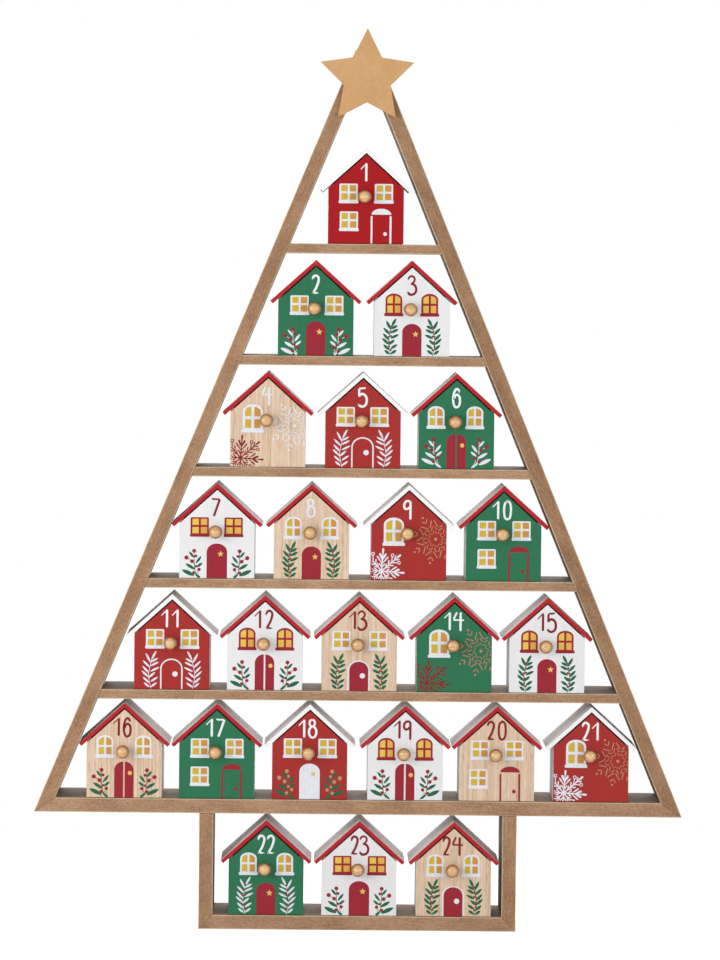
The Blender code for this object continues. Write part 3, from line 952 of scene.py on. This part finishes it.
def arched_window(left, bottom, width, height, bar, ink):
    """An arched window by the lower left corner of its sill, with half the width of its bars."""
    middle = left + width / 2
    half = width / 2 - SILL_REACH
    rise = ARCH_RISE * half
    spring = bottom + height - rise
    frame_outline = [(middle - half, bottom + 1), (middle + half, bottom + 1)]
    frame_outline += arc((middle, spring), half, rise, 0, 180, 14)
    border = bar + FRAME_EXTRA
    columns = ((middle - half + border, middle - bar), (middle + bar, middle + half - border))
    cross = bottom + CROSS_HEIGHT * height
    rows = ((cross + bar, 0), (bottom + 1.0 + 2 * bar, cross - bar))
    arch = (middle, half - border + 0.15, spring - 0.2, rise - border + 0.1)
    return [
        shape(frame_outline, ink),
        rounded(left, bottom, left + width, bottom + 2.0, SILL_CORNER, ink),
    ] + panes(columns, rows, ink, arch)


def square_windows(ink, left=-17.8, right=5.2, bottom=27.0):
    return square_window(left, bottom, ink) + square_window(right, bottom, ink)


def low_window(left=-17.8):
    return square_window(left, 8.2, "white")


def arched_windows(ink, left=-18.5, right=5.7):
    return [mark for side in (left, right) for mark in arched_window(side, 26.5, 12.7, 15.1, 0.7, ink)]


def tall_window():
    return arched_window(-17.6, 22.8, 15.0, 18.8, 1.0, "white")


# Doors
# Solid arched doors with a gold star or knob, a double door, a door with an outline, and a
# door shown by its two jambs and the half-round light over them.
DOOR_HALF = 6.4
DOOR_RISE = 5.6
DOOR_FOOT = 0.1
STAR_WAIST = 0.45


def star_shape(centre, radius, ink):
    points = []
    for index in range(10):
        reach = radius * (STAR_WAIST if index % 2 else 1)
        angle = pi / 2 + index * pi / 5
        points.append((centre[0] + reach * cos(angle), centre[1] + reach * sin(angle)))
    return shape(points, ink, coat=3)


def arched_outline(left, right, top):
    middle, half = (left + right) / 2, (right - left) / 2
    arch = arc((middle, top - DOOR_RISE), half, DOOR_RISE, 0, 180, 16)
    return [(left, DOOR_FOOT), (right, DOOR_FOOT)] + arch


def star_door(top, half=DOOR_HALF, ink="red"):
    return [shape(arched_outline(-half, half, top), ink), star_shape((2.4, top - 6.9), 2.2, "gold")]


def double_door(top):
    spring = top - 5.7
    left = [(-6.6, DOOR_FOOT), (-0.7, DOOR_FOOT), (-0.7, top)] + arc((-0.7, spring), 5.9, 5.7, 100, 180, 8)
    right = [(6.3, DOOR_FOOT)] + arc((0.4, spring), 5.9, 5.7, 0, 80, 8) + [(0.4, top), (0.4, DOOR_FOOT)]
    return [shape(left, "red"), shape(right, "red"), dot((3.8, top - 7.5), 1.4, "gold", 3)]


def outlined_door(outline, filling=None):
    marks = []
    if filling:
        marks.append(shape(arched_outline(-6.4, 6.0, 19.6), filling))
    arch = arc((-0.2, 13.7), 7.0, 6.3, 180, 0, 16)
    marks.append(line([(-7.2, DOOR_FOOT)] + arch + [(6.8, DOOR_FOOT)], 1.05, outline, coat=2))
    marks.append(dot((2.2, 10.2), 1.8, outline, 3))
    return marks


def jamb_door(ink, left=3.2):
    fan = arc((left + 7.0, 19.3), 6.5, 3.9, 0, 180, 16)
    return [
        block(left, DOOR_FOOT, left + 1.2, 18.3, ink),
        block(left + 12.5, DOOR_FOOT, left + 13.8, 18.3, ink),
        shape(fan, ink),
        dot((left + 9.6, 6.5), 1.25, ink),
    ]


# Twigs
# A berry twig or a fern frond stands on each side of the door, one the mirror of the other.
# What would fall outside the front is cut off.
STEM_WIDTH = 0.4
BUD_RADIUS = 0.68
BERRY_STEMS = (
    ((-13.4, 1.8), (-14.4, 5.0), (-14.7, 8.0), (-15.0, 11.5), (-15.1, 17.0)),
    ((-14.8, 9.0), (-16.5, 11.2), (-19.6, 13.3)),
    ((-13.6, 2.6), (-12.9, 3.8), (-12.0, 5.3)),
    ((-13.7, 1.9), (-12.8, 2.3), (-11.8, 3.0)),
)
BERRIES = ((-15.1, 18.1, 1.3), (-20.2, 13.6, 1.4), (-14.0, 14.7, 1.0), (-16.5, 11.2, 1.25),
           (-14.1, 7.8, 0.9), (-11.8, 5.8, 1.15), (-15.2, 3.6, 1.1))
BERRY_LEAVES = (((-15.2, 13.7), (-18.4, 17.5), 1.7), ((-13.9, 10.0), (-10.3, 14.6), 1.75),
                ((-14.5, 5.9), (-20.6, 9.5), 2.2), ((-13.4, 7.3), (-9.6, 10.2), 1.8),
                ((-15.1, 1.8), (-23.0, 5.4), 2.8), ((-14.3, 2.6), (-10.0, -0.5), 1.7))
FROND_STEM = ((-13.9, 0.4), (-14.6, 4.0), (-15.3, 8.0), (-15.2, 11.0), (-14.4, 15.0), (-13.7, 18.2),
              (-13.2, 20.0))
FROND_LEAVES = (
    ((-14.8, 1.4), (-17.9, 3.9)), ((-13.9, 1.5), (-10.3, 4.0)),
    ((-14.9, 4.2), (-18.6, 7.5)), ((-13.9, 5.0), (-9.8, 7.7)),
    ((-15.3, 7.9), (-19.4, 11.7)), ((-15.2, 7.7), (-11.6, 10.8)),
    ((-15.2, 10.8), (-18.9, 14.8)), ((-14.0, 11.9), (-9.0, 14.3)),
    ((-14.5, 14.4), (-18.6, 18.5)), ((-14.0, 15.5), (-9.3, 17.8)),
    ((-14.1, 17.8), (-16.9, 23.2)), ((-13.7, 18.2), (-9.8, 20.3)),
    ((-13.4, 19.8), (-10.7, 24.8)),
)
BUDS = ((-13.9, 0.6), (-13.9, 4.2), (-15.0, 6.5), (-14.9, 9.5), (-15.1, 13.0), (-13.8, 13.4), (-14.3, 16.5),
        (-13.6, 19.7))


def on_front(point):
    """True inside the front's edge."""
    x, z = point
    half = HOUSE_HALF_WIDTH / MM - EDGE_MARGIN
    ridge = front_ridge / MM - 2 * EDGE_MARGIN
    return abs(x) < half and EDGE_MARGIN < z < ridge - abs(x) * tan(ROOF_PITCH)


def clipped(marks):
    """The parts of the marks that lie on the front."""
    kept = []
    for mark in marks:
        dense = [mark.points[0]]
        for a, b in zip(mark.points, mark.points[1:]):
            dense += [tuple(p + (q - p) * step / 4 for p, q in zip(a, b)) for step in range(1, 5)]
        inside = [point for point in dense if on_front(point[:2])]
        if len(inside) == len(dense):
            kept.append(mark)
        elif len(inside) > 1 and not mark.filled:
            kept.append(mark._replace(points=inside))
    return kept


def berry_twigs(leaf_ink="green", berry_ink="red", rise=0.0):
    up = Vector((0, rise))
    marks = [line([point + up for point in smooth(stem, 3)], STEM_WIDTH, leaf_ink) for stem in BERRY_STEMS]
    for base, tip, width in BERRY_LEAVES:
        marks.append(swelling(Vector(base) + up, Vector(tip) + up, width, leaf_ink))
    marks += [dot((x, z + rise), radius, berry_ink) for x, z, radius in BERRIES]
    marks = clipped(marks)
    return marks + mirror(marks)


def fronds(ink="green", bud_ink="red", width=1.95, stretch=1.05):
    marks = [line(smooth(FROND_STEM, 3), STEM_WIDTH, ink)]
    for base, tip in FROND_LEAVES:
        marks.append(swelling(base, Vector(base).lerp(Vector(tip), stretch), width, ink))
    if bud_ink:
        marks += [dot(place, BUD_RADIUS, bud_ink) for place in BUDS]
    marks = clipped(marks)
    return marks + mirror(marks)


# Snow
# A dashed star of three zigzag rings in the upper right, and a snow crystal in the lower
# left, both cut off by the edges of the front.
FLAKE_CENTRE = Vector((17.75, 27.5))
FLAKE_TURN = 9.5
# Where each dash of a ring starts and ends, as radius and angle from its tip, and its width
FLAKE_RINGS = (((12.7, 3.5), (8.3, 18.8), 0.65), ((8.7, 4.4), (6.2, 18.4), 0.56),
               ((5.5, 5.0), (3.8, 18.0), 0.46))
CRYSTAL_CENTRE = Vector((-18.0, 5.85))
CRYSTAL_TURN = -4.0
# Petals of the two kinds of arm: start and end along the arm, reach to the side, and width
STRAIGHT_PETALS = ((2.2, 5.2, 1.9, 0.85), (5.0, 9.9, 3.8, 0.95), (7.4, 11.9, 2.1, 1.4), (10.4, 15.4, 0, 1.3))
SLANTING_PETALS = ((3.2, 5.8, 1.6, 0.75), (5.6, 8.6, 2.4, 0.85), (11.2, 14.2, 1.8, 0.8), (12.4, 16.9, 0, 1.3))
RING_STALK = (8.6, 12.4, 3.2)
RING_RADIUS = 0.95


def polar(centre, radius, degrees):
    return centre + radius * Vector((cos(radians(degrees)), sin(radians(degrees))))


def dashes(angle, first, second, width, ink):
    """Two strokes, one on each side of an arm, between radii at angles from the arm."""
    return [line([polar(FLAKE_CENTRE, radius, angle + side * turn) for radius, turn in (first, second)],
                 width, ink) for side in (-1, 1)]


def star_flake(ink, weight=1.0):
    marks = [dot(FLAKE_CENTRE, 1.05, ink)]
    for tip, valley, width in FLAKE_RINGS:
        for index in range(8):
            marks += dashes(FLAKE_TURN + 45 * index, tip, valley, width * weight, ink)
    for index in range(8):
        angle = FLAKE_TURN + 22.5 + 45 * index
        marks.append(dot(polar(FLAKE_CENTRE, 16.4, angle), 0.7, ink))
        marks += dashes(angle, (12.3, 0.8), (14.6, 7.0), 0.66 * weight, ink)
    return clipped(marks)


def crystal(ink, weight=1.0):
    marks = [dot(CRYSTAL_CENTRE, 1.2, ink, 1)]
    for index in range(8):
        angle = CRYSTAL_TURN + 45 * index
        slanting = index % 2 == 1
        ahead = polar(Vector((0, 0)), 1, angle)
        aside = polar(Vector((0, 0)), 1, angle + 90)
        length = 12.5 if slanting else 10.5
        marks.append(line([CRYSTAL_CENTRE + 0.5 * ahead, CRYSTAL_CENTRE + length * ahead], 0.8 * weight, ink))
        for side in (-1, 1):
            for start, end, reach, width in SLANTING_PETALS if slanting else STRAIGHT_PETALS:
                tip = CRYSTAL_CENTRE + end * ahead + side * reach * aside
                if reach or side == 1:
                    marks.append(swelling(CRYSTAL_CENTRE + start * ahead, tip, width * weight, ink, PETAL))
            if slanting:
                start, end, reach = RING_STALK
                base = CRYSTAL_CENTRE + start * ahead
                middle = CRYSTAL_CENTRE + end * ahead + side * reach * aside
                marks.append(line([base, middle.lerp(base, 0.2)], 0.7, ink))
                marks.append(line(arc(middle, RING_RADIUS, RING_RADIUS, 0, 360, 12), 0.62, ink))
    return clipped(marks)


# The prints, front by front
# Windows take the left edge of their sills and their height, doors their height, twigs how
# far they stand above the others, and flakes how heavy their strokes are.
DECORATION = {
    1: square_windows("white", -18.2, 5.2, 26.6) + low_window() + jamb_door("white"),
    2: square_windows("white", -17.4, 5.6, 26.7) + star_door(22.5) + berry_twigs("white", rise=-0.7),
    3: arched_windows("red", -18.5, 5.3) + star_door(21.6) + fronds(),
    4: tall_window() + star_flake("white", 1.3) + crystal("dark red"),
    5: square_windows("white", -18.1, 4.2, 27.4) + outlined_door("white") + fronds("white", None, 1.5, 1.14),
    6: arched_windows("white", -20.0, 5.7) + double_door(23.1) + berry_twigs("white", rise=1.2),
    7: square_windows("red", -18.1, 4.4, 27.5) + star_door(23.1, 6.8) + berry_twigs(),
    8: arched_windows("white") + star_door(21.8) + fronds(),
    9: tall_window() + star_flake("beige") + crystal("white", 1.2),
    10: square_windows("white") + low_window() + jamb_door("red"),
    11: square_windows("white") + outlined_door("white") + fronds("white", None, 1.5, 1.14),
    12: arched_windows("red", -18.2, 6.9) + double_door(23.8) + berry_twigs(rise=0.5),
    13: square_windows("white", -18.5, 6.0) + outlined_door("white", "red") + fronds(),
    14: tall_window() + star_flake("salmon") + crystal("dark red"),
    15: arched_windows("red", -18.2, 5.6) + star_door(22.5) + fronds(),
    16: arched_windows("white", -19.2, 6.2) + double_door(24.0) + berry_twigs(rise=0.3),
    17: square_windows("white") + low_window() + jamb_door("red"),
    18: square_windows("white", -17.8, 5.2, 27.6) + star_door(23.9, 6.8, "white")
        + berry_twigs("green", "beige", 0.6),
    19: arched_windows("red", -19.0, 6.3) + double_door(24.4) + berry_twigs(rise=1.2),
    20: square_windows("white", -17.8, 4.9, 27.4) + low_window(-18.9) + jamb_door("red", 1.9),
    21: tall_window() + star_flake("beige") + crystal("white", 1.2),
    22: arched_windows("white", -18.1, 6.1) + star_door(21.5) + fronds("white", "red", 1.55, 1.12),
    23: square_windows("red") + star_door(23.1, 6.8) + berry_twigs(),
    24: arched_windows("white", -18.6, 5.4) + outlined_door("white", "red") + fronds(),
}


def height_of(mark, index):
    return (mark.coat * COAT + STEP * (index % STEPS)) * MM


def film(mark, index):
    """A filled mark as a thin plate of ink."""
    return board([(x * MM, z * MM) for x, z in mark.points], -height_of(mark, index), INK_BED * MM, 0)


def stroke_mesh(marks):
    """Strokes of one ink, through the Geometry Nodes tree, as a plain mesh."""
    mesh = bpy.data.meshes.new("paths")
    places, edges, widths, heights = [], [], [], []
    for turn, mark in enumerate(marks):
        start = len(places)
        places += [(x * MM, 0, z * MM) for x, z, half in mark.points]
        widths += [half * MM for x, z, half in mark.points]
        heights += [height_of(mark, turn)] * len(mark.points)
        edges += [(start + index, start + index + 1) for index in range(len(mark.points) - 1)]
    mesh.from_pydata(places, edges, [])
    mesh.attributes.new("half_width", "FLOAT", "POINT").data.foreach_set("value", widths)
    mesh.attributes.new("ink_height", "FLOAT", "POINT").data.foreach_set("value", heights)
    obj = link_object("paths", mesh)
    obj.modifiers.new("ink strokes", "NODES").node_group = INK_STROKES
    bpy.context.view_layer.update()
    graph = bpy.context.evaluated_depsgraph_get()
    result = bpy.data.meshes.new_from_object(obj.evaluated_get(graph), depsgraph=graph)
    bpy.data.objects.remove(obj)
    return result


def print_mesh(name, marks):
    """All the marks of one front as one mesh, with a material for each ink."""
    used = sorted({mark.ink for mark in marks})
    layers = []
    for index, ink in enumerate(used):
        solids = [film(mark, turn) for turn, mark in enumerate(marks) if mark.ink == ink and mark.filled]
        strokes = [mark for mark in marks if mark.ink == ink and not mark.filled]
        if strokes:
            solids.append(bmesh.new())
            solids[-1].from_mesh(stroke_mesh(strokes))
        for solid in solids:
            set_material(solid.faces, index)
        layers += solids
    return finished_mesh(joined(layers), name, [inks[ink] for ink in used])


for number in seats:
    name = f"print_{number:02d}"
    mesh = print_mesh(name, DECORATION[number] + numeral(number))
    mesh.transform(Matrix.Translation(seats[number]))
    finished_piece(name, mesh, f"drawer_{number:02d}", "front_" + paint_of[number])
